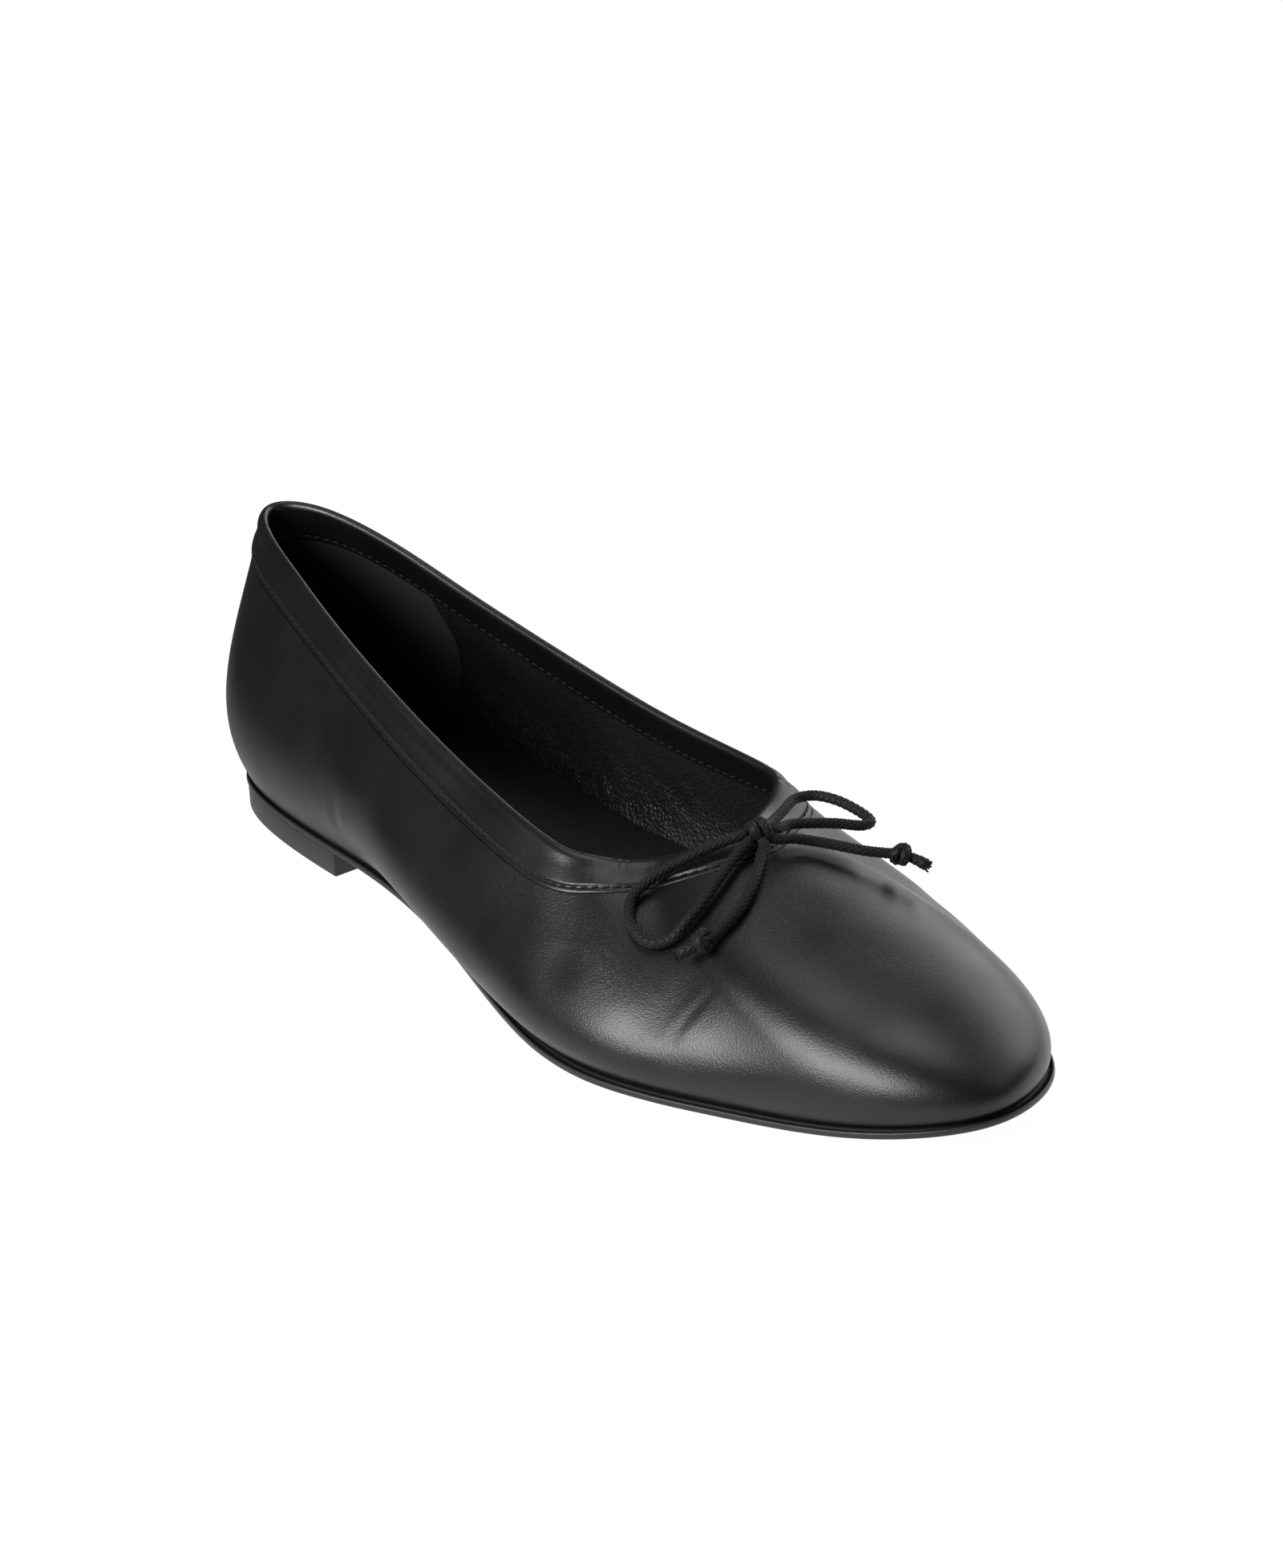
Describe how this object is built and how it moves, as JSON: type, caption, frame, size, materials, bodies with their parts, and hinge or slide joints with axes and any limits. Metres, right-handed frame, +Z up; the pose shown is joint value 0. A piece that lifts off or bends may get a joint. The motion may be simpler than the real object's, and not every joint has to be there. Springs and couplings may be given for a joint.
{
  "type": "ballet flat shoe",
  "caption": "Low round-toed leather ballet flat for the left foot, with a drawstring casing round its opening, a corded bow and a low heel block.",
  "frame": {"origin": "on the underside of the heel block, in the middle of its width, a tenth of the last's length in front of the heel's back", "axes": "+Z up, the toe points to -Y, the inner side of the foot is -X"},
  "size_m": [0.0879, 0.2512, 0.0625],
  "materials": {
    "upper_leather": "smooth black nappa, semi-matt",
    "casing_leather": "smooth black nappa, folded and stitched",
    "sock_leather": "matt black lining leather",
    "lining_leather": "black lining leather with a soft grain",
    "heel_suede": "black suede-like heel grip",
    "outsole": "satin dark grey",
    "heel_block": "satin dark grey",
    "waxed_cord": "waxed round braid",
    "thread": "black polyester sewing thread"
  },
  "bodies": {
    "root": {"upper": "upper_leather", "topline_casing": "casing_leather", "insole": "sock_leather", "outsole": "outsole", "heel_block": "heel_block", "bow_knot": "waxed_cord", "bow_loop_medial": "waxed_cord", "bow_loop_lateral": "waxed_cord", "bow_end_medial": "waxed_cord", "bow_end_lateral": "waxed_cord", "bow_tip_medial": "waxed_cord", "bow_tip_lateral": "waxed_cord"}
  },
  "joints": []
}
